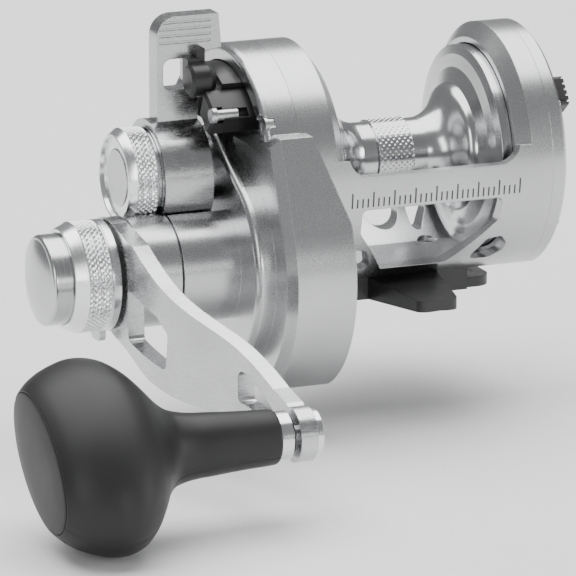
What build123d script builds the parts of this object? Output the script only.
"""Two-speed lever-drag trolling reel, right-hand crank.

X runs along the spool axis, with the crank on the -X side. -Y is the front of the reel, +Z is up.
The origin is the centre of the flat underside of the rod foot. Millimetres.
"""
import os
from math import acos, atan2, cos, degrees, pi, radians, sin, sqrt, tan

from build123d import *

os.makedirs("parts", exist_ok=True)

# ---------------------------------------------------------------- driving dimensions
BARREL_R = 33.2            # outside radius of the frame rings
SPOOL_Z = 36.5             # height of the spool axis above the foot
BASE_DROP = 30.4           # spool axis down to the flat underside of the frame
CENTRE_DISTANCE = 25.4     # spool axis to handle axis
HANDLE_TILT = 26.3         # handle axis lies this far forward of straight down, degrees
CRANK_REACH = (-90.7, -21.0)   # handle axis to knob axis, y and z

RING_IN = 24.6             # inner faces of the two frame rings, each side of the frame's middle
MID_X = 1.0                # the frame's middle, from the spool's middle
WELL_R = 30.0              # wells in the outer faces of the rings
WELL_DROP = 29.4
RIGHT_SEAM = -36.4         # where the frame ends and the gear housing begins
LEFT_SEAM = 34.8           # where the frame ends and the far side plate begins
WALL = 3.2                 # frame wall between the rings
BORE_R = 27.7              # ring bore that the spool flange turns in
RUN = 0.05                 # radial clearance of a running fit
GAP = 0.3                  # clearance between bodies that don't touch

SPOOL = (0, SPOOL_Z)
HANDLE = (-CENTRE_DISTANCE * sin(radians(HANDLE_TILT)), SPOOL_Z - CENTRE_DISTANCE * cos(radians(HANDLE_TILT)))
KNOB = (HANDLE[0] + CRANK_REACH[0], HANDLE[1] + CRANK_REACH[1])
BASE_Z = SPOOL_Z - BASE_DROP
MESH_ANGLE = degrees(atan2(SPOOL[1] - HANDLE[1], SPOOL[0] - HANDLE[0]))

HIGH_TEETH = (63, 10)      # main gear and pinion, 6.3 to 1
LOW_TEETH = (54, 18)       # main gear and pinion, 3 to 1
PRESSURE_ANGLE = radians(20)
GEAR_WIDTH = 3.5
LOW_GEAR_X = -40.7         # left face of the low pair
HIGH_GEAR_X = -44.7        # left face of the high pair

SHAFT_R = 3.0              # spool shaft inside the spool
SHAFT_TIP_R = 1.9          # spool shaft through the pinions
DRIVE_R = 4.0              # handle drive shaft


def at_x(x):
    """Plane across the X axis: its own x is the reel's Y, its own y is the reel's Z."""
    return Plane.YZ.offset(x)


def up(y, z):
    """Point given by y and by height over the spool axis."""
    return (y, SPOOL_Z + z)


def turned(x_start, x_end, radius, centre, bore=0.0):
    """Disc or ring about an axis parallel to X."""
    with BuildPart() as ring:
        with BuildSketch(at_x(x_start)):
            with Locations(centre):
                Circle(radius)
                if bore:
                    Circle(bore, mode=Mode.SUBTRACT)
        extrude(amount=x_end - x_start)
    return ring.part


def lathe(profile, centre):
    """Solid turned about the X-parallel axis through centre, from (x, radius) corners."""
    with BuildPart() as body:
        with BuildSketch(Plane.XZ.offset(-centre[0])):
            with BuildLine():
                Polyline(*[(x, centre[1] + r) for x, r in profile], close=True)
            make_face()
        revolve(axis=Axis((0, centre[0], centre[1]), (1, 0, 0)))
    return body.part


def involute(angle):
    return tan(angle) - angle


def gear_outline(teeth, module, shift, tip_factor):
    """Closed list of points round a spur gear, first tooth centred on angle 0."""
    pitch_r = module * teeth / 2
    base_r = pitch_r * cos(PRESSURE_ANGLE)
    tip_r = pitch_r + module * (tip_factor + shift)
    root_r = pitch_r - module * (1.2 - shift)
    backlash = 0.14 * module
    thickness = module * (pi / 2 + 2 * shift * tan(PRESSURE_ANGLE)) - backlash
    half_pitch = thickness / (2 * pitch_r) + involute(PRESSURE_ANGLE)
    foot_r = max(root_r, base_r)
    flank = [(root_r, half_pitch - involute(acos(min(1.0, base_r / foot_r))))]
    for step in range(4):
        r = foot_r + (tip_r - foot_r) * step / 3
        flank.append((r, half_pitch - involute(acos(min(1.0, base_r / r)))))
    points = []
    for tooth in range(teeth):
        middle = 2 * pi * tooth / teeth
        for r, half in flank:
            points.append((r * cos(middle - half), r * sin(middle - half)))
        for r, half in reversed(flank):
            points.append((r * cos(middle + half), r * sin(middle + half)))
    return [p for i, p in enumerate(points) if i == 0 or (Vector(*p) - Vector(*points[i - 1])).length > 1e-3]


def gear(teeth, module, shift, tip_factor, x_left, centre, turn, bore):
    """Spur gear GEAR_WIDTH wide about an X-parallel axis, with one tooth at the angle turn."""
    with BuildPart() as blank:
        with BuildSketch(at_x(x_left)):
            with Locations(Location((centre[0], centre[1], 0), (0, 0, turn))):
                with BuildSketch(mode=Mode.PRIVATE) as outline:
                    with BuildLine():
                        Polyline(*gear_outline(teeth, module, shift, tip_factor), close=True)
                    make_face()
                add(outline.sketch)
            with Locations(centre):
                Circle(bore, mode=Mode.SUBTRACT)
        extrude(amount=GEAR_WIDTH)
    return blank.part


# ================================================================ frame and casings
WINDOW = [(-19.8, -6.8), (20.6, -6.8), (20.0, -13.6), (8.4, -26.4), (-9.6, -26.4), (-19.4, -13.6)]
EYE_WINDOW = [(14.6, -26.0), (18.4, -19.2), (22.4, -18.6), (24.6, -21.0), (24.4, -23.6), (21.4, -26.0)]
REAR_WINDOW_LEFT = [(-21.0, -9.0), (4.5, -9.0), (-1.5, -26.2), (-21.0, -26.2)]
REAR_WINDOW_RIGHT = [(16.0, -9.0), (21.0, -9.0), (21.0, -22.0), (17.5, -26.2), (15.0, -26.2)]
REAR_OVAL = (7.6, -21.2)
BAR_FRONT = 2.2            # top edge of the front wall over the spool axis
BAR_REAR = -2.0            # top edge of the rear wall over the spool axis
MOUTH_R = 6.0              # corner radius where a wall meets a ring
RING_BEVEL_X = 3.2
RING_BEVEL_R = 4.0
FLOOR_Z = -28.2            # inside floor of the frame under the spool
FOOT_SCREWS = [(sx * 17.2, sy * 9.5) for sx in (-1, 1) for sy in (-1, 1)]
PLATE_SCREW_R = 31.6
PLATE_SCREW_ANGLES = [30 + 60 * i for i in range(6)]


def barrel_outline(radius, drop):
    """Round section with a flat underside, drawn in the current sketch."""
    with Locations(SPOOL):
        Circle(radius)
    with Locations((0, SPOOL_Z - drop - radius)):
        Rectangle(3 * radius, 2 * radius, mode=Mode.SUBTRACT)


with BuildPart() as frame:
    with BuildSketch(at_x(RIGHT_SEAM)):
        barrel_outline(BARREL_R, BASE_DROP)
    extrude(amount=LEFT_SEAM - RIGHT_SEAM)
    # the hollow between the rings, over a flat floor
    with BuildSketch(at_x(MID_X - RING_IN)):
        barrel_outline(BARREL_R - WALL, -FLOOR_Z)
    extrude(amount=2 * RING_IN, mode=Mode.SUBTRACT)
    # ring bores for the spool flanges, and the wider wells behind them
    with BuildSketch(at_x(RIGHT_SEAM)):
        with Locations(SPOOL):
            Circle(BORE_R)
    extrude(amount=LEFT_SEAM - RIGHT_SEAM, mode=Mode.SUBTRACT)
    with BuildSketch(at_x(RIGHT_SEAM)):
        barrel_outline(WELL_R, WELL_DROP)
    extrude(amount=5.0, mode=Mode.SUBTRACT)
    with BuildSketch(at_x(LEFT_SEAM)):
        barrel_outline(WELL_R, WELL_DROP)
    extrude(amount=-3.6, mode=Mode.SUBTRACT)
    # the open mouth over the spool, lower at the rear than at the front
    for edge, direction in ((BAR_FRONT, 1), (BAR_REAR, -1)):
        with BuildSketch(Plane.XZ):
            with Locations((MID_X, SPOOL_Z + edge + BARREL_R)):
                RectangleRounded(2 * RING_IN, 2 * BARREL_R, MOUTH_R)
        extrude(amount=direction * 2 * BARREL_R, mode=Mode.SUBTRACT)
    # front wall windows
    with BuildSketch(Plane.XZ) as front_windows:
        for corners in (WINDOW, EYE_WINDOW, [(2 * MID_X - x, z) for x, z in EYE_WINDOW]):
            with BuildLine():
                Polyline(*[(x, SPOOL_Z + z) for x, z in corners], close=True)
            make_face()
        fillet(front_windows.vertices(), 1.6)
    extrude(amount=2 * BARREL_R, mode=Mode.SUBTRACT)
    # rear wall windows, with an oval between two webs
    with BuildSketch(Plane.XZ) as rear_windows:
        for corners in (REAR_WINDOW_LEFT, REAR_WINDOW_RIGHT):
            with BuildLine():
                Polyline(*[(x, SPOOL_Z + z) for x, z in corners], close=True)
            make_face()
        fillet(rear_windows.vertices(), 1.6)
        with Locations((REAR_OVAL[0], SPOOL_Z + REAR_OVAL[1])):
            Ellipse(5.2, 4.4)
    extrude(amount=-2 * BARREL_R, mode=Mode.SUBTRACT)
    # wide bevels on the rings' inner edges, over the open mouth
    with BuildSketch(Plane.XY.offset(SPOOL_Z)) as bevels:
        for side in (-1, 1):
            with BuildLine():
                Polyline((MID_X + side * (RING_IN - 1), BARREL_R - RING_BEVEL_R - 1.25),
                         (MID_X + side * (RING_IN - 1), BARREL_R + 2),
                         (MID_X + side * (RING_IN + RING_BEVEL_X + 1.6), BARREL_R + 2), close=True)
            make_face()
    revolve(axis=Axis((0, 0, SPOOL_Z), (1, 0, 0)), revolution_arc=168, mode=Mode.SUBTRACT)
    # countersunk holes for the foot screws
    with Locations(*[(x, y, SPOOL_Z + FLOOR_Z) for x, y in FOOT_SCREWS]):
        CounterSinkHole(1.5, 2.9, depth=6)
    # tapped holes for the side plate screws
    with Locations(*[Location((LEFT_SEAM, PLATE_SCREW_R * cos(radians(a)), SPOOL_Z + PLATE_SCREW_R * sin(radians(a))),
                              (0, 90, 0)) for a in PLATE_SCREW_ANGLES if a != 270]):
        Hole(0.6, depth=6)
frame.part.label = "frame"
export_step(frame.part, "parts/frame.step")

# ---------------------------------------------------------------- far side plate
PLATE_THICK = 4.1
LEFT_FACE = LEFT_SEAM + PLATE_THICK
CLICK_SLOT = up(-20.6, 18.6)   # middle of the clicker's slot on the far side plate
CLICK_TRAVEL = 4.0
CLICK_TILT = 51.0          # direction that the clicker slides in, up from straight back

with BuildPart() as left_side_plate:
    with BuildSketch(at_x(LEFT_SEAM)):
        barrel_outline(BARREL_R, BASE_DROP)
    extrude(amount=PLATE_THICK)
    rim = left_side_plate.faces().sort_by(Axis.X)[-1].edges()
    chamfer(rim, 0.9)
    # spigot that centres the plate in the ring
    with BuildSketch(at_x(LEFT_SEAM)):
        barrel_outline(WELL_R - 0.1, WELL_DROP - 0.1)
    extrude(amount=-1.6)
    # shallow dish in the outer face, and lightening pockets round it
    with BuildSketch(at_x(LEFT_FACE)):
        with Locations(SPOOL):
            Circle(26.0)
            Circle(14.0, mode=Mode.SUBTRACT)
    extrude(amount=-1.4, mode=Mode.SUBTRACT)
    # boss and seat for the left spool bearing
    with BuildSketch(at_x(LEFT_SEAM - 1.6)):
        with Locations(SPOOL):
            Circle(9.0)
    extrude(amount=-2.4)
    with BuildSketch(at_x(LEFT_SEAM - 4.0)):
        with Locations(SPOOL):
            Circle(6.5)
    extrude(amount=4.0, mode=Mode.SUBTRACT)
    with BuildSketch(at_x(LEFT_SEAM)):
        with Locations(SPOOL):
            Circle(SHAFT_R + RUN)
    extrude(amount=PLATE_THICK, mode=Mode.SUBTRACT)
    # thread for the bearing cap
    with BuildSketch(at_x(LEFT_FACE)):
        with Locations(SPOOL):
            Circle(10.0)
    extrude(amount=-1.6, mode=Mode.SUBTRACT)
    # slot that the clicker slides in
    with BuildSketch(at_x(LEFT_FACE)):
        with Locations(CLICK_SLOT):
            SlotOverall(CLICK_TRAVEL + 6.4, 4.4, rotation=CLICK_TILT)
    extrude(amount=-6, mode=Mode.SUBTRACT)
    # screw holes
    with Locations(*[Location((LEFT_FACE, PLATE_SCREW_R * cos(radians(a)), SPOOL_Z + PLATE_SCREW_R * sin(radians(a))),
                              (0, 90, 0)) for a in PLATE_SCREW_ANGLES if a != 270]):
        CounterSinkHole(0.8, 1.3, depth=PLATE_THICK)
left_side_plate.part.label = "left_side_plate"
export_step(left_side_plate.part, "parts/left_side_plate.step")

# ---------------------------------------------------------------- gear housing
HOUSING_SCREW = up(-25.6, 16.6)
RIM_X = -45.7              # outer face of the housing's round part
RECESS_X = -41.0           # floor of the recess that the drag quadrant sits in
RECESS_R = 28.9
GEARBOX_R = 35.0
GEARBOX_CENTRE = up(-12.3, -22.8)
GEARBOX_FLAT = -54.3       # flat underside of the gearbox
GEARBOX_IN = -27.4         # inner end of the gearbox, wrapped outside the frame ring
GEARBOX_FACE = -46.1
GEARBOX_BEVEL = 2.3
GEARBOX_TOP = up(-34.6, 14.9)   # where the gearbox wall starts on the ring
DECK_X = -51.4
DECK_R = 26.5
DECK_SPOOL_R = 12.0
BOSS_R = 14.9
BOSS_X = -67.2
HUB_R = 15.0                # drag lever hub
CAVITY_X = -45.3           # outer wall of the gear cavity
CAVITY_R = 23.4
RATCHET_X = -49.3          # floor of the anti-reverse pocket in the deck
RATCHET_POCKET_R = 20.0
BEARING_R = 8.0
BEARING_W = 4.0


def hull_of(first, first_r, second, second_r):
    """Outline that wraps two circles, drawn in the current sketch."""
    with BuildSketch(mode=Mode.PRIVATE) as circles:
        with Locations(first):
            Circle(first_r)
        with Locations(second):
            Circle(second_r)
        make_hull()
    add(circles.sketch)


def gearbox_outline():
    """Gearbox section with its flat underside and its straight upper front wall."""
    centre = Vector(*GEARBOX_CENTRE)
    to_top = Vector(*GEARBOX_TOP) - centre
    front = centre + to_top.rotate(Axis.Z, degrees(acos(GEARBOX_R / to_top.length))).normalized() * GEARBOX_R
    with Locations(GEARBOX_CENTRE):
        Circle(GEARBOX_R)
    with BuildLine() as wall:
        Polyline(GEARBOX_TOP, (front.X, front.Y), GEARBOX_CENTRE, up(14, -22.8), up(26, -4), up(0, 14.9), close=True)
    make_face(wall.edges())
    with Locations((0, SPOOL_Z + GEARBOX_FLAT - GEARBOX_R)):
        Rectangle(4 * GEARBOX_R, 2 * GEARBOX_R, mode=Mode.SUBTRACT)


with BuildPart() as gearbox:
    with BuildSketch(at_x(GEARBOX_IN)):
        gearbox_outline()
    extrude(amount=GEARBOX_FACE - GEARBOX_IN)
    face_edges = gearbox.faces().sort_by(Axis.X)[0].edges()
    chamfer(face_edges.filter_by(lambda e: e.center().Y < -2), GEARBOX_BEVEL)
    # hollow that takes the frame ring
    with BuildSketch(at_x(GEARBOX_IN)):
        barrel_outline(BARREL_R + 0.02, BASE_DROP + 0.02)
    extrude(amount=RIGHT_SEAM - GEARBOX_IN, mode=Mode.SUBTRACT)
    # the upper front edge of the wrap slants back to the seam
    with BuildSketch(Plane.XZ.offset(-BARREL_R * 2)):
        with BuildLine():
            Polyline((-26.8, SPOOL_Z - 9.0), (-35.0, SPOOL_Z + 15.6), (-26.8, SPOOL_Z + 15.6), close=True)
        make_face()
    extrude(amount=4 * BARREL_R, mode=Mode.SUBTRACT)

with BuildPart() as deck:
    with BuildSketch(at_x(RECESS_X)):
        hull_of(SPOOL, DECK_SPOOL_R, HANDLE, DECK_R)
    extrude(amount=DECK_X - RECESS_X)
    fillet(deck.faces().sort_by(Axis.X)[0].edges(), 1.8)

with BuildPart() as gear_housing:
    # round part behind the drag lever
    with BuildSketch(at_x(RIGHT_SEAM)):
        with Locations(SPOOL):
            Circle(BARREL_R)
    extrude(amount=RIM_X - RIGHT_SEAM)
    fillet(gear_housing.faces().sort_by(Axis.X)[0].edges(), 2.0)
    add(gearbox.part)
    # recess for the drag quadrant
    with BuildSketch(at_x(GEARBOX_FACE)):
        with Locations(SPOOL):
            Circle(RECESS_R)
        with Locations(up(0, -28.0)):
            Rectangle(80, 76, mode=Mode.SUBTRACT)
    extrude(amount=RECESS_X - GEARBOX_FACE, mode=Mode.SUBTRACT)
    # raised deck that joins the two axes
    add(deck.part)
    # handle boss, and the seat that the lever hub turns on
    with BuildSketch(at_x(DECK_X + 1)):
        with Locations(HANDLE):
            Circle(BOSS_R)
    extrude(amount=BOSS_X - DECK_X - 1)
    with BuildSketch(at_x(DECK_X + 1)):
        with Locations(SPOOL):
            Circle(8.5)
    extrude(amount=-10.0)
    # scallop in the boss that clears the lever hub and the preset knob
    with BuildSketch(at_x(DECK_X)):
        with Locations(SPOOL):
            Circle(HUB_R + 0.5)
            Circle(8.5, mode=Mode.SUBTRACT)
    extrude(amount=BOSS_X - DECK_X, mode=Mode.SUBTRACT)
    # gear cavity
    with BuildSketch(at_x(RIGHT_SEAM)):
        with Locations(HANDLE):
            Circle(CAVITY_R)
        with Locations(SPOOL):
            Circle(11.0)
    extrude(amount=CAVITY_X - RIGHT_SEAM, mode=Mode.SUBTRACT)
    # anti-reverse pocket in the deck
    with BuildSketch(at_x(CAVITY_X)):
        with Locations(HANDLE):
            Circle(RATCHET_POCKET_R)
    extrude(amount=RATCHET_X - CAVITY_X, mode=Mode.SUBTRACT)
    # bearing seats: handle shaft at both ends of the boss, pinion in the lever seat
    for x_start, depth, radius, centre in (
        (RATCHET_X, BEARING_W, BEARING_R, HANDLE),
        (BOSS_X, -BEARING_W, BEARING_R, HANDLE),
        (CAVITY_X, 4.0, 6.5, SPOOL),
    ):
        with BuildSketch(at_x(x_start)):
            with Locations(centre):
                Circle(radius)
        extrude(amount=-depth, mode=Mode.SUBTRACT)
    for radius, centre in ((DRIVE_R + 1.0, HANDLE), (SHAFT_R + 0.5, SPOOL)):
        with BuildSketch(at_x(BOSS_X)):
            with Locations(centre):
                Circle(radius)
        extrude(amount=CAVITY_X - BOSS_X, mode=Mode.SUBTRACT)
    # threads for the screws that come through from the frame side, and the one beside the quadrant
    with Locations(Location((RIM_X, *HOUSING_SCREW), (0, -90, 0))):
        CounterBoreHole(1.5, 2.9, 3.0, depth=9.3)
gear_housing.part.label = "gear_housing"
export_step(gear_housing.part, "parts/gear_housing.step")

# ---------------------------------------------------------------- bridge plate inside the frame
BRIDGE_X = RIGHT_SEAM
BRIDGE_W = 1.8
with BuildPart() as bridge_plate:
    with BuildSketch(at_x(BRIDGE_X)):
        with Locations(SPOOL):
            Circle(WELL_R - 0.1)
        with Locations((0, SPOOL_Z - 29.3 - 30)):
            Rectangle(90, 60, mode=Mode.SUBTRACT)
        with Locations(SPOOL):
            Circle(9.6, mode=Mode.SUBTRACT)
    extrude(amount=BRIDGE_W)
    with BuildSketch(at_x(BRIDGE_X)):
        with Locations(HANDLE):
            Circle(DRIVE_R + RUN)
    extrude(amount=BRIDGE_W, mode=Mode.SUBTRACT)
bridge_plate.part.label = "bridge_plate"
export_step(bridge_plate.part, "parts/bridge_plate.step")

# ---------------------------------------------------------------- rod foot
FOOT_TOP = BASE_Z
FOOT_SEAT_HALF = 13.0      # the flat seat reaches this far front and back
TONGUE_REACH = 38.0
SADDLE_R = 22.0
WING_THICK = 2.8
with BuildPart() as rod_foot:
    with BuildSketch(Plane.XY):
        Rectangle(38, 2 * FOOT_SEAT_HALF)
    extrude(amount=FOOT_TOP)
    # clamp wings, each a loop with a slot
    with BuildSketch(Plane.XY):
        RectangleRounded(54.2, 23, 4.5)
    extrude(amount=WING_THICK)
    with BuildSketch(Plane.XY):
        with Locations((-21.4, 0), (21.4, 0)):
            RectangleRounded(4.6, 16, 2.2)
    extrude(amount=WING_THICK, mode=Mode.SUBTRACT)
    # tapered tongues
    for side in (-1, 1):
        with BuildSketch(Plane.XZ.offset(side * FOOT_SEAT_HALF)):
            with Locations((0, 3.1)):
                Rectangle(20, 6.0)
        with BuildSketch(Plane.XZ.offset(side * TONGUE_REACH)):
            with Locations((0, 3.4)):
                Rectangle(10.8, 3.0)
        loft()
        with BuildSketch(Plane.XZ.offset(side * (FOOT_SEAT_HALF + 4))):
            with Locations((0, 2.0 - SADDLE_R)):
                Circle(SADDLE_R)
        extrude(amount=side * TONGUE_REACH, mode=Mode.SUBTRACT)
    fillet(rod_foot.edges().filter_by(Axis.Z).filter_by(lambda e: abs(abs(e.center().Y) - TONGUE_REACH) < 0.1), 2.5)
    with Locations(*[(x, y, 0) for x, y in FOOT_SCREWS]):
        Hole(1.5, depth=20)
rod_foot.part.label = "rod_foot"
export_step(rod_foot.part, "parts/rod_foot.step")

# ================================================================ fixed fittings
def screw_set(places, axis_rotation, shank_r, shank, head_r, head):
    """Group of identical screws: countersunk heads at the places, shanks along the rotated Z."""
    with BuildPart() as screws:
        with Locations(*[Location(place, axis_rotation) for place in places]):
            Cone(shank_r, head_r, head, align=(Align.CENTER, Align.CENTER, Align.MAX))
            Cylinder(shank_r, shank, align=(Align.CENTER, Align.CENTER, Align.MAX))
            with Locations((0, 0, -head / 2)):
                socket_cut(head_r * 0.42, head)
    return screws.part


def socket_cut(radius, depth):
    """Hexagon drive socket cut into the screws being built."""
    Cylinder(radius, depth, mode=Mode.SUBTRACT, align=(Align.CENTER, Align.CENTER, Align.MIN))


foot_screws = screw_set([(x, y, SPOOL_Z + FLOOR_Z - 0.1) for x, y in FOOT_SCREWS], (0, 0, 0), 1.45, 7.5, 2.7, 1.3)
foot_screws.label = "foot_screws"
export_step(foot_screws, "parts/foot_screws.step")

left_plate_screws = screw_set(
    [(LEFT_FACE - 0.1, PLATE_SCREW_R * cos(radians(a)), SPOOL_Z + PLATE_SCREW_R * sin(radians(a)))
     for a in PLATE_SCREW_ANGLES if a != 270],
    (0, 90, 0), 0.58, 8.0, 1.1, 0.7)
left_plate_screws.label = "left_plate_screws"
export_step(left_plate_screws, "parts/left_plate_screws.step")

# screw beside the quadrant, in its counterbore
with BuildPart() as housing_screw:
    with Locations(Location((RIM_X + 2.9, *HOUSING_SCREW), (0, -90, 0))):
        Cylinder(2.7, 2.4, align=(Align.CENTER, Align.CENTER, Align.MIN))
        Cylinder(1.45, 6.0, align=(Align.CENTER, Align.CENTER, Align.MAX))
    with Locations(Location((RIM_X + 0.5, *HOUSING_SCREW), (0, -90, 0))):
        Cylinder(1.2, 1.4, align=(Align.CENTER, Align.CENTER, Align.MAX), mode=Mode.SUBTRACT)
housing_screw.part.label = "housing_screw"
export_step(housing_screw.part, "parts/housing_screw.step")

# left bearing cap with two spanner holes
with BuildPart() as left_bearing_cap:
    add(lathe([(LEFT_FACE - 1.6, 0), (LEFT_FACE - 1.6, 9.9), (LEFT_FACE - 0.2, 9.9), (LEFT_FACE + 0.8, 8.6),
               (LEFT_FACE + 0.8, 0)], SPOOL))
    with Locations(*[Location((LEFT_FACE + 0.8, *up(y, 0)), (0, 90, 0)) for y in (-5.5, 5.5)]):
        Hole(0.9, depth=1.4)
left_bearing_cap.part.label = "left_bearing_cap"
export_step(left_bearing_cap.part, "parts/left_bearing_cap.step")

# bearings: an outer and an inner race with a ring between them, each one closed solid
BEARINGS = {
    "left_spool_bearing": (LEFT_SEAM - 3.9, 3.7, 6.45, SHAFT_R + RUN, SPOOL),
    "pinion_bearing": (CAVITY_X - 3.9, 3.6, 6.45, SHAFT_TIP_R + RUN + 0.4, SPOOL),
    "inner_drive_bearing": (RATCHET_X - BEARING_W + 0.1, BEARING_W - 0.2, BEARING_R - 0.05, DRIVE_R + RUN, HANDLE),
    "outer_drive_bearing": (BOSS_X + 0.2, BEARING_W - 0.3, BEARING_R - 0.05, DRIVE_R + RUN, HANDLE),
}
for name, (x, width, outer, inner, centre) in BEARINGS.items():
    shield = (outer - inner) * 0.3
    bearing = lathe([(x, inner), (x, inner + shield), (x + 0.3, inner + shield), (x + 0.3, outer - shield),
                     (x, outer - shield), (x, outer), (x + width, outer), (x + width, outer - shield),
                     (x + width - 0.3, outer - shield), (x + width - 0.3, inner + shield),
                     (x + width, inner + shield), (x + width, inner)], centre)
    bearing.label = name
    export_step(bearing, f"parts/{name}.step")

# ---------------------------------------------------------------- drag quadrant and strike stop
QUADRANT_OUT = -51.3       # outer face of the quadrant strip
QUADRANT_R = 28.6
QUADRANT_IN_R = 21.0
STRIKE_ANGLE = 63.0        # top of the strike block, up from straight ahead
STRIKE_OUT = -56.6
QUADRANT_END = 148.0


def sector(inner, outer, start, end):
    """Piece of a ring about the spool axis; angles are measured up from straight ahead."""
    with BuildLine(mode=Mode.PRIVATE) as outline:
        points = [up(-r * cos(radians(a)), r * sin(radians(a)))
                  for r, a in ((inner, start), (outer, start), (outer, (start + end) / 2), (outer, end), (inner, end),
                               (inner, (start + end) / 2))]
        Line(points[0], points[1])
        ThreePointArc(points[1], points[2], points[3])
        Line(points[3], points[4])
        ThreePointArc(points[4], points[5], points[0])
    make_face(outline.edges())


with BuildPart() as drag_quadrant:
    with BuildSketch(at_x(RECESS_X)):
        sector(QUADRANT_IN_R, QUADRANT_R, STRIKE_ANGLE + 1, QUADRANT_END)
    extrude(amount=QUADRANT_OUT - RECESS_X)
drag_quadrant.part.label = "drag_quadrant"
export_step(drag_quadrant.part, "parts/drag_quadrant.step")

STRIKE_LOW = 42.0
BUTTON_AT = up(-18.6, 18.9)   # strike stop button, on the block's outer face
with BuildPart() as strike_stop:
    with BuildSketch(at_x(RECESS_X)):
        sector(QUADRANT_IN_R - 1.5, QUADRANT_R - 1.5, STRIKE_LOW, STRIKE_ANGLE)
    extrude(amount=STRIKE_OUT - RECESS_X)
    chamfer(strike_stop.faces().sort_by(Axis.X)[0].edges(), 0.7)
    with Locations(Location((STRIKE_OUT, *BUTTON_AT), (0, -90, 0))):
        CounterBoreHole(1.5, 2.2, 3.2, depth=10)
strike_stop.part.label = "strike_stop"
export_step(strike_stop.part, "parts/strike_stop.step")

strike_button = lathe([(STRIKE_OUT - 0.5, 0), (STRIKE_OUT - 0.5, 1.7), (STRIKE_OUT - 0.1, 2.1),
                       (STRIKE_OUT + 1.0, 2.1),
                       (STRIKE_OUT + 1.0, 1.45), (STRIKE_OUT + 7.0, 1.45), (STRIKE_OUT + 7.0, 0)], BUTTON_AT)
strike_button.label = "strike_button"
export_step(strike_button, "parts/strike_button.step")

# ================================================================ spool, shaft and drag
SPOOL_HALF = 27.0
SPOOL_PROFILE = [   # half of the outside, from the middle out to the flange
    (5.2, 8.8), (9.2, 8.9), (12.3, 10.0), (15.0, 12.2), (16.8, 14.8), (18.0, 16.4), (20.0, 17.3), (21.4, 21.4),
    (22.0, 24.9), (22.7, 27.4),
]
ARBOR_R = 9.2              # knurled band in the middle of the arbor
ARBOR_HALF = 5.0
SPOOL_BORE = 6.5
with BuildPart() as spool:
    with BuildSketch(Plane.XZ):
        with BuildLine():
            for side in (-1, 1):
                Polyline((0, SPOOL_Z + ARBOR_R), (side * ARBOR_HALF, SPOOL_Z + ARBOR_R),
                         (side * 5.2, SPOOL_Z + 8.8), (side * 9.2, SPOOL_Z + 8.9))
                Spline(*[(side * x, SPOOL_Z + r) for x, r in SPOOL_PROFILE[1:7]])
                Polyline(*[(side * x, SPOOL_Z + r) for x, r in SPOOL_PROFILE[6:]],
                         (side * SPOOL_HALF, SPOOL_Z + 27.4), (side * SPOOL_HALF, SPOOL_Z + 25.0),
                         (side * 24.0, SPOOL_Z + 24.0), (side * 22.4, SPOOL_Z + 15.0), (side * 15.0, SPOOL_Z + 7.6),
                         (side * 15.0, SPOOL_Z + 4.4), (0, SPOOL_Z + 4.4))
        make_face()
    revolve(axis=Axis((0, 0, SPOOL_Z), (1, 0, 0)))
    for side in (-1, 1):
        with BuildSketch(at_x(side * 15.0)):
            with Locations(SPOOL):
                Circle(SPOOL_BORE)
        extrude(amount=-side * 4.0, mode=Mode.SUBTRACT)
spool.part.label = "spool"
export_step(spool.part, "parts/spool.step")

for name, x in (("spool_bearing_right", -14.9), ("spool_bearing_left", 11.1)):
    bearing = turned(x, x + 3.8, SPOOL_BORE - 0.05, SPOOL, SHAFT_R + RUN)
    bearing.label = name
    export_step(bearing, f"parts/{name}.step")

drag_washer = turned(-28.5, -SPOOL_HALF, 26.8, SPOOL, 9.0)
drag_washer.label = "drag_washer"
export_step(drag_washer, "parts/drag_washer.step")

# click ratchet on the far side of the spool
CLICK_TEETH = 40
with BuildPart() as click_ratchet:
    with BuildSketch(at_x(22.9)):
        with Locations(SPOOL):
            Circle(17.0)
            with PolarLocations(17.0, CLICK_TEETH):
                RegularPolygon(0.7, 3, mode=Mode.SUBTRACT)
            Circle(12.0, mode=Mode.SUBTRACT)
    extrude(amount=2.0)
click_ratchet.part.label = "click_ratchet"
export_step(click_ratchet.part, "parts/click_ratchet.step")

# spool shaft: it slides a little when the drag lever's cam turns
SHAFT_LEFT = 35.2
SHAFT_RIGHT = -75.5
spool_shaft = lathe([(SHAFT_RIGHT, 0), (SHAFT_RIGHT, SHAFT_TIP_R), (-31.2, SHAFT_TIP_R), (-31.2, SHAFT_R),
                     (SHAFT_LEFT, SHAFT_R), (SHAFT_LEFT, 0)], SPOOL)
spool_shaft.label = "spool_shaft"
export_step(spool_shaft, "parts/spool_shaft.step")

# pinion sleeve with both pinions and the drag pressure plate
high_module = 2 * CENTRE_DISTANCE / sum(HIGH_TEETH)
low_module = 2 * CENTRE_DISTANCE / sum(LOW_TEETH)
HIGH_SHIFT = 0.5
PINION_BORE = SHAFT_TIP_R + RUN
high_pinion = gear(HIGH_TEETH[1], high_module, HIGH_SHIFT, 0.85, HIGH_GEAR_X, SPOOL, MESH_ANGLE + 180, PINION_BORE)
high_pinion.label = "high_pinion"
export_step(high_pinion, "parts/high_pinion.step")
low_pinion = gear(LOW_TEETH[1], low_module, 0.0, 0.9, LOW_GEAR_X, SPOOL, MESH_ANGLE + 180, PINION_BORE)
low_pinion.label = "low_pinion"
export_step(low_pinion, "parts/low_pinion.step")
with BuildPart() as pressure_plate:
    add(lathe([(-31.0, 4.0), (-31.0, 26.0), (-28.9, 26.4), (-28.9, 9.0), (-30.0, 8.0), (-30.0, 4.0)], SPOOL))
    add(turned(LOW_GEAR_X + GEAR_WIDTH, -31.4, 5.0, SPOOL, PINION_BORE))
    add(turned(-31.4, -30.0, 5.0, SPOOL, SHAFT_R + GAP))
pressure_plate.part.label = "pressure_plate"
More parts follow.
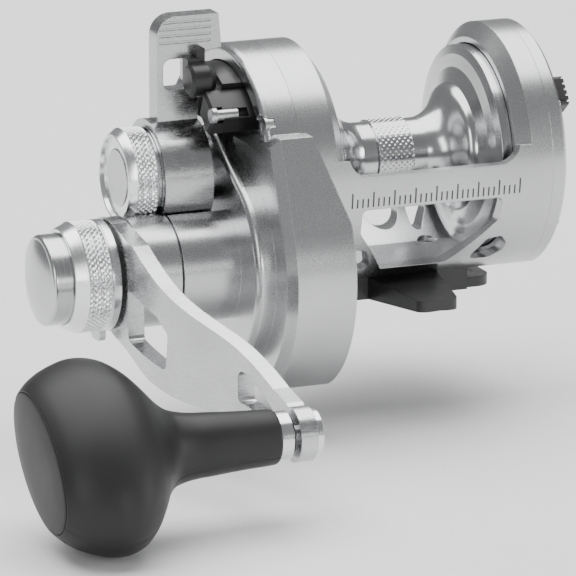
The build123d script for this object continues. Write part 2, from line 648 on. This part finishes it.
export_step(pressure_plate.part, "parts/pressure_plate.step")

# ================================================================ drag lever and preset knob
HUB_OUT = -68.1            # face of the lever hub
HUB_IN = -54.6
LEVER_LEFT = -65.9
STEM_RIGHT = -54.6
HEAD_RIGHT = -48.6
HEAD_TOP = 42.6            # heights over the spool axis
HEAD_LOW = 33.4
LEVER_THICK = 6.0
CLICK_DOME = (-59.3, -8.0, 26.3)   # left end of the strike click housing: x, y, height over the spool axis
CLICK_DOME_R = 4.4
with BuildPart() as drag_lever:
    with BuildSketch(at_x(HUB_IN)):
        with Locations(SPOOL):
            Circle(HUB_R)
            Circle(8.5 + RUN, mode=Mode.SUBTRACT)
    extrude(amount=HUB_OUT - HUB_IN)
    # stem and head seen from the front, with the thumb pad reaching over the quadrant
    with BuildSketch(Plane.XZ.offset(-LEVER_THICK / 2)) as lever_front:
        with BuildLine():
            Polyline((LEVER_LEFT, SPOOL_Z + 11), (LEVER_LEFT, SPOOL_Z + HEAD_TOP), (HEAD_RIGHT, SPOOL_Z + HEAD_TOP),
                     (HEAD_RIGHT + 0.8, SPOOL_Z + HEAD_LOW), (STEM_RIGHT + 1.8, SPOOL_Z + HEAD_LOW - 0.6),
                     (STEM_RIGHT, SPOOL_Z + HEAD_LOW - 3.4), (STEM_RIGHT, SPOOL_Z + 11), close=True)
        make_face()
        corners = lever_front.vertices().group_by(Axis.Y)[-1].sort_by(Axis.X)
        fillet(corners[0], 5.5)
        fillet(corners[-1], 1.8)
    extrude(amount=LEVER_THICK)
    # window through the stem
    with BuildSketch(Plane.XZ.offset(LEVER_THICK)):
        with Locations((-60.7, SPOOL_Z + 27.1)):
            RectangleRounded(7.0, 8.4, 2.2)
    extrude(amount=-2 * LEVER_THICK, mode=Mode.SUBTRACT)
    # recess that the preset knob turns in
    with BuildSketch(at_x(HUB_OUT)):
        with Locations(SPOOL):
            Circle(12.6)
    extrude(amount=2.4, mode=Mode.SUBTRACT)
    # serrations across the thumb pad
    with Locations(*[(-58.0, -LEVER_THICK / 2, SPOOL_Z + z) for z in (35.6, 37.4, 39.2, 41.0)]):
        Box(14.4, 0.7, 0.6, mode=Mode.SUBTRACT)
drag_lever.part.label = "drag_lever"
export_step(drag_lever.part, "parts/drag_lever.step")

# black click housing in front of the lever, with the peg that ties it to the thumb pad
with BuildPart() as click_housing:
    add(lathe([(CLICK_DOME[0], 0), (CLICK_DOME[0], CLICK_DOME_R - 0.8), (CLICK_DOME[0] + 0.8, CLICK_DOME_R),
               (CLICK_DOME[0] + 5.2, CLICK_DOME_R), (CLICK_DOME[0] + 6.8, CLICK_DOME_R - 1.0),
               (CLICK_DOME[0] + 7.6, CLICK_DOME_R - 2.6), (CLICK_DOME[0] + 7.6, 0)], up(*CLICK_DOME[1:])))
    with Locations((-57.0, -3.0 - 2.0, SPOOL_Z + CLICK_DOME[2] + 3.0)):
        Box(3.6, 4.0, 5.0)
    with Locations((-54.9, -4.6, SPOOL_Z + 31.6)):
        Box(2.4, 3.2, 5.2)
    with Locations((-56.0, -4.6, SPOOL_Z + 30.4)):
        Box(4.6, 3.2, 2.8)
click_housing.part.label = "click_housing"
export_step(click_housing.part, "parts/click_housing.step")

# cam inside the hub that pulls the shaft across
lever_cam = turned(-65.6, -61.0, 7.6, SPOOL, SHAFT_TIP_R + GAP)
lever_cam.label = "lever_cam"
export_step(lever_cam, "parts/lever_cam.step")

# preset knob: bevelled, knurled rim round a recessed face
KNOB_FACE = -77.2
KNOB_BACK = -66.2
KNOB_R = 13.1
with BuildPart() as preset_knob:
    add(lathe([(KNOB_FACE + 1.2, 0), (KNOB_FACE + 1.2, 10.7), (KNOB_FACE, 10.9), (KNOB_FACE, 11.4),
               (KNOB_FACE + 2.2, KNOB_R), (-69.2, KNOB_R), (-68.8, 12.3), (KNOB_BACK, 12.3), (KNOB_BACK, 4.0),
               (-70.5, 4.0), (-70.5, 0)], SPOOL))
    with BuildSketch(at_x(KNOB_BACK)):
        with Locations(SPOOL):
            Circle(SHAFT_TIP_R + GAP)
    extrude(amount=-9.5, mode=Mode.SUBTRACT)
preset_knob.part.label = "preset_knob"
export_step(preset_knob.part, "parts/preset_knob.step")

# plain badge disc let into the knob's face
knob_badge = lathe([(KNOB_FACE + 0.9, 0), (KNOB_FACE + 0.9, 7.4), (KNOB_FACE + 1.2, 7.8),
                    (KNOB_FACE + 1.2, 0)], SPOOL)
knob_badge.label = "knob_badge"
export_step(knob_badge, "parts/knob_badge.step")

# ================================================================ crank
SKIRT_OUT = -78.4
ARM_THICK = 4.5
ARM_HUB = -83.6            # outer face of the arm at the hub
ARM_END = -68.0            # outer face of the arm at the knob
ARM_R = 15.0
EYE_R = 7.0
WASHER_OUT = -84.4
COLLAR_KNURL = -93.4
COLLAR_FACE = -96.7
COLLAR_FLOOR = -89.4       # bottom of the bore that the shift button slides in
BUTTON_R = 12.0
BUTTON_FACE = -103.9
SHIFT_TRAVEL = 3.0

ARM_OUTLINE = [   # upper edge from the hub to the eye, then the lower edge back, y and height over the spool axis
    (-13.0, -7.9), (-31.0, -10.6), (-48.0, -18.2), (-61.0, -23.4), (-76.0, -30.0), (-90.0, -35.0), (-100.3, -36.9),
    (-100.3, -50.7), (-84.0, -47.2), (-64.0, -46.6), (-52.0, -45.6), (-41.0, -44.0), (-27.0, -39.7), (-14.0, -37.6),
]
HOLE_NEAR = [(-27.6, -22.6), (-45.5, -26.0), (-50.6, -29.6), (-49.6, -39.4), (-27.6, -36.6)]
HOLE_FAR = [(-73.4, -34.0), (-77.5, -34.6), (-90.5, -40.6), (-88.5, -44.2), (-73.4, -42.4)]
ARM_BEND = [(-29, ARM_HUB), (-40, -83.1), (-50, -81.5), (-60, -77.9), (-68, -73.4), (-76, -70.2), (-88, -68.4),
            (-96, ARM_END)]   # y and x of the outer face where the arm bends

with BuildPart() as crank_arm:
    with BuildSketch(at_x(ARM_HUB - 6)) as planform:
        with BuildLine():
            Polyline(*[up(y, z) for y, z in ARM_OUTLINE], close=True)
        make_face()
        fillet(planform.vertices(), 2.5)
        with Locations(HANDLE):
            Circle(ARM_R)
        with Locations(KNOB):
            Circle(EYE_R)
        with BuildSketch(mode=Mode.PRIVATE) as holes:
            for corners in (HOLE_NEAR, HOLE_FAR):
                with BuildLine():
                    Polyline(*[up(y, z) for y, z in corners], close=True)
                make_face()
            fillet(holes.vertices(), 1.6)
        add(holes.sketch, mode=Mode.SUBTRACT)
        with Locations(HANDLE):
            Circle(DRIVE_R, mode=Mode.SUBTRACT)
        with Locations(KNOB):
            Circle(2.6, mode=Mode.SUBTRACT)
    extrude(amount=30)
    # the plate bends inwards on its way to the knob
    with BuildSketch(Plane.XY.offset(SPOOL_Z - 70)):
        with BuildLine():
            for shift in (0, ARM_THICK):
                Line((ARM_HUB + shift, 20), (ARM_HUB + shift, ARM_BEND[0][0]))
                Spline(*[(x + shift, y) for y, x in ARM_BEND], tangents=[(0, -1), (0, -1)])
                Line((ARM_END + shift, ARM_BEND[-1][0]), (ARM_END + shift, -112))
            Line((ARM_HUB, 20), (ARM_HUB + ARM_THICK, 20))
            Line((ARM_END, -112), (ARM_END + ARM_THICK, -112))
        make_face()
    extrude(amount=90, mode=Mode.INTERSECT)
crank_arm.part.label = "crank_arm"
export_step(crank_arm.part, "parts/crank_arm.step")

# fixed collar between the arm and the housing boss, scalloped round the preset knob
with BuildPart() as boss_cap:
    add(lathe([(SKIRT_OUT, DRIVE_R + 1.0), (SKIRT_OUT, 14.9), (BOSS_X - 0.6, 14.9), (BOSS_X, 14.2),
               (BOSS_X, DRIVE_R + 1.0)], HANDLE))
    with BuildSketch(at_x(BOSS_X)):
        with Locations(SPOOL):
            Circle(KNOB_R + 0.5)
    extrude(amount=SKIRT_OUT - BOSS_X, mode=Mode.SUBTRACT)
    with BuildSketch(at_x(BOSS_X)):
        with Locations(SPOOL):
            Circle(HUB_R + 0.5)
    extrude(amount=HUB_OUT - 0.5 - BOSS_X, mode=Mode.SUBTRACT)
boss_cap.part.label = "boss_cap"
export_step(boss_cap.part, "parts/boss_cap.step")

hub_washer = turned(WASHER_OUT, ARM_HUB, 14.3, HANDLE, DRIVE_R)
hub_washer.label = "hub_washer"
export_step(hub_washer, "parts/hub_washer.step")

LATCH_X = -85.9            # middle of the latch tab
LATCH_WIDTH = 6.4
LATCH_THICK = 1.8
with BuildPart() as hub_collar:
    add(lathe([(WASHER_OUT, DRIVE_R), (WASHER_OUT, 14.7), (COLLAR_KNURL, 14.7), (COLLAR_FACE, 13.1),
               (COLLAR_FACE, BUTTON_R + RUN), (COLLAR_FLOOR, BUTTON_R + RUN), (COLLAR_FLOOR, DRIVE_R)], HANDLE))
    # pocket that the release latch slides in
    with Locations((LATCH_X, HANDLE[0], HANDLE[1] - 13.5)):
        Box(LATCH_THICK + 0.2, LATCH_WIDTH + 0.4, 6.0, mode=Mode.SUBTRACT)
hub_collar.part.label = "hub_collar"
export_step(hub_collar.part, "parts/hub_collar.step")

with BuildPart() as release_latch:
    with Locations((LATCH_X, HANDLE[0], HANDLE[1] - 12.4)):
        Box(LATCH_THICK, LATCH_WIDTH, 5.0, align=(Align.CENTER, Align.CENTER, Align.MAX))
    fillet(release_latch.faces().sort_by(Axis.Z)[0].edges().filter_by(Axis.X), 1.6)
release_latch.part.label = "release_latch"
export_step(release_latch.part, "parts/release_latch.step")

with BuildPart() as shift_button:
    add(lathe([(BUTTON_FACE + 1.6, 0), (BUTTON_FACE + 1.6, BUTTON_R), (COLLAR_FLOOR - SHIFT_TRAVEL - GAP, BUTTON_R),
               (COLLAR_FLOOR - SHIFT_TRAVEL - GAP, 0)], HANDLE))
    fillet(shift_button.edges().filter_by(GeomType.CIRCLE).sort_by(Axis.X)[0], 1.2)
    with BuildSketch(Plane.XZ.offset(-HANDLE[0])):
        with BuildLine():
            ThreePointArc((BUTTON_FACE + 1.6, HANDLE[1] + 10.8), (BUTTON_FACE + 0.1, HANDLE[1] + 6),
                          (BUTTON_FACE - 0.3, HANDLE[1]))
            Line((BUTTON_FACE - 0.3, HANDLE[1]), (BUTTON_FACE + 1.7, HANDLE[1]))
            Line((BUTTON_FACE + 1.7, HANDLE[1]), (BUTTON_FACE + 1.7, HANDLE[1] + 10.8))
            Line((BUTTON_FACE + 1.7, HANDLE[1] + 10.8), (BUTTON_FACE + 1.6, HANDLE[1] + 10.8))
        make_face()
    revolve(axis=Axis((0, HANDLE[0], HANDLE[1]), (1, 0, 0)))
shift_button.part.label = "shift_button"
export_step(shift_button.part, "parts/shift_button.step")

drive_shaft = lathe([(-89.2, 0), (-89.2, DRIVE_R), (-35.0, DRIVE_R), (-35.0, 0)], HANDLE)
drive_shaft.label = "drive_shaft"
export_step(drive_shaft, "parts/drive_shaft.step")

high_gear = gear(HIGH_TEETH[0], high_module, -HIGH_SHIFT, 0.85, HIGH_GEAR_X, HANDLE,
                 MESH_ANGLE + 180 / HIGH_TEETH[0], DRIVE_R)
high_gear.label = "high_gear"
export_step(high_gear, "parts/high_gear.step")
low_gear = gear(LOW_TEETH[0], low_module, 0.0, 0.9, LOW_GEAR_X, HANDLE,
                MESH_ANGLE + 180 / LOW_TEETH[0], DRIVE_R + RUN)
low_gear.label = "low_gear"
export_step(low_gear, "parts/low_gear.step")

# anti-reverse ratchet on the drive shaft, and its two dogs
RATCHET_TEETH = 12
RATCHET_R = 12.0
DOG_AT_R = 16.6
with BuildPart() as anti_reverse_ratchet:
    with BuildSketch(at_x(-48.9)):
        with Locations(HANDLE):
            Circle(RATCHET_R)
            with PolarLocations(RATCHET_R + 0.2, RATCHET_TEETH):
                RegularPolygon(2.0, 3, mode=Mode.SUBTRACT)
            Circle(DRIVE_R, mode=Mode.SUBTRACT)
    extrude(amount=2.8)
anti_reverse_ratchet.part.label = "anti_reverse_ratchet"
export_step(anti_reverse_ratchet.part, "parts/anti_reverse_ratchet.step")

DOG_ANGLES = {"front_dog": 195.0, "rear_dog": 15.0}
for name, angle in DOG_ANGLES.items():
    pivot = (HANDLE[0] + DOG_AT_R * cos(radians(angle)), HANDLE[1] + DOG_AT_R * sin(radians(angle)))
    with BuildPart() as dog:
        with BuildSketch(at_x(-48.6)):
            with Locations(Location((pivot[0], pivot[1], 0), (0, 0, angle + 100))):
                Circle(2.2)
                with Locations((3.4, 0.2)):
                    Rectangle(6.0, 2.0)
            with Locations(pivot):
                Circle(0.9 + RUN, mode=Mode.SUBTRACT)
        extrude(amount=2.2)
    dog.part.label = name
    export_step(dog.part, f"parts/{name}.step")
    pin = turned(RATCHET_X, -45.5, 0.9, pivot)
    pin.label = f"{name}_pin"
    export_step(pin, f"parts/{name}_pin.step")

# ================================================================ handle knob
KNOB_FAR = -135.4          # end face of the grip
FERRULE_OUT = -72.8
HEAD_TILT = 58.0           # the head's long axis leans back at the top by this much, degrees
GRIP_SECTIONS = [   # x, half length along the head's long axis, half width across it
    (FERRULE_OUT, 6.9, 6.9), (-80.0, 7.3, 7.3), (-90.0, 8.0, 8.0), (-97.0, 8.8, 8.6), (-102.0, 11.2, 10.2),
    (-107.0, 18.8, 14.0), (-112.0, 25.6, 17.2), (-117.5, 28.6, 18.4), (-123.0, 28.4, 18.2), (-128.8, 26.0, 16.4),
    (-133.0, 22.6, 13.6), (KNOB_FAR, 17.0, 9.6),
]
with BuildPart() as knob_grip:
    for x, half_long, half_short in GRIP_SECTIONS:
        with BuildSketch(at_x(x)):
            with Locations(Location((KNOB[0], KNOB[1], 0), (0, 0, 90 - HEAD_TILT))):
                Ellipse(half_long, half_short)
    loft()
    with BuildSketch(at_x(FERRULE_OUT)):
        with Locations(KNOB):
            Circle(4.0)
    extrude(amount=-30, mode=Mode.SUBTRACT)
knob_grip.part.label = "knob_grip"
export_step(knob_grip.part, "parts/knob_grip.step")

knob_sleeve = turned(-102.4, FERRULE_OUT, 3.95, KNOB, 2.6 + RUN)
knob_sleeve.label = "knob_sleeve"
export_step(knob_sleeve, "parts/knob_sleeve.step")

knob_ferrule = lathe([(FERRULE_OUT, 2.6 + RUN), (FERRULE_OUT, 6.3), (-69.6, 6.3), (-69.0, 5.7),
                      (-69.0, 2.6 + RUN)], KNOB)
knob_ferrule.label = "knob_ferrule"
export_step(knob_ferrule, "parts/knob_ferrule.step")

RIVET_X = ARM_END + ARM_THICK + 0.1
knob_spindle = lathe([(-101.6, 0), (-101.6, 2.6), (RIVET_X, 2.6), (RIVET_X, 6.0), (RIVET_X + 1.8, 6.0),
                      (RIVET_X + 2.3, 5.2), (RIVET_X + 2.3, 0)], KNOB)
knob_spindle.label = "knob_spindle"
export_step(knob_spindle, "parts/knob_spindle.step")

# ================================================================ clicker on the far side plate
CLICK_LOW = (CLICK_SLOT[0] - CLICK_TRAVEL / 2 * cos(radians(CLICK_TILT)),
             CLICK_SLOT[1] - CLICK_TRAVEL / 2 * sin(radians(CLICK_TILT)))
with BuildPart() as clicker_button:
    with BuildSketch(at_x(LEFT_FACE + 0.1)):
        with Locations(Location((*CLICK_LOW, 0), (0, 0, CLICK_TILT))):
            RectangleRounded(8.4, 6.6, 1.2)
    extrude(amount=3.2)
    with BuildSketch(at_x(LEFT_FACE + 2.5)):
        with Locations(Location((*CLICK_LOW, 0), (0, 0, CLICK_TILT))):
            with GridLocations(1.7, 0, 5, 1):
                Rectangle(0.7, 8.0)
    extrude(amount=1.0, mode=Mode.SUBTRACT)
    with BuildSketch(at_x(LEFT_FACE + 0.1)):
        with Locations(Location((*CLICK_LOW, 0), (0, 0, CLICK_TILT))):
            SlotOverall(6.0, 4.2)
    extrude(amount=-4.0)
clicker_button.part.label = "clicker_button"
export_step(clicker_button.part, "parts/clicker_button.step")
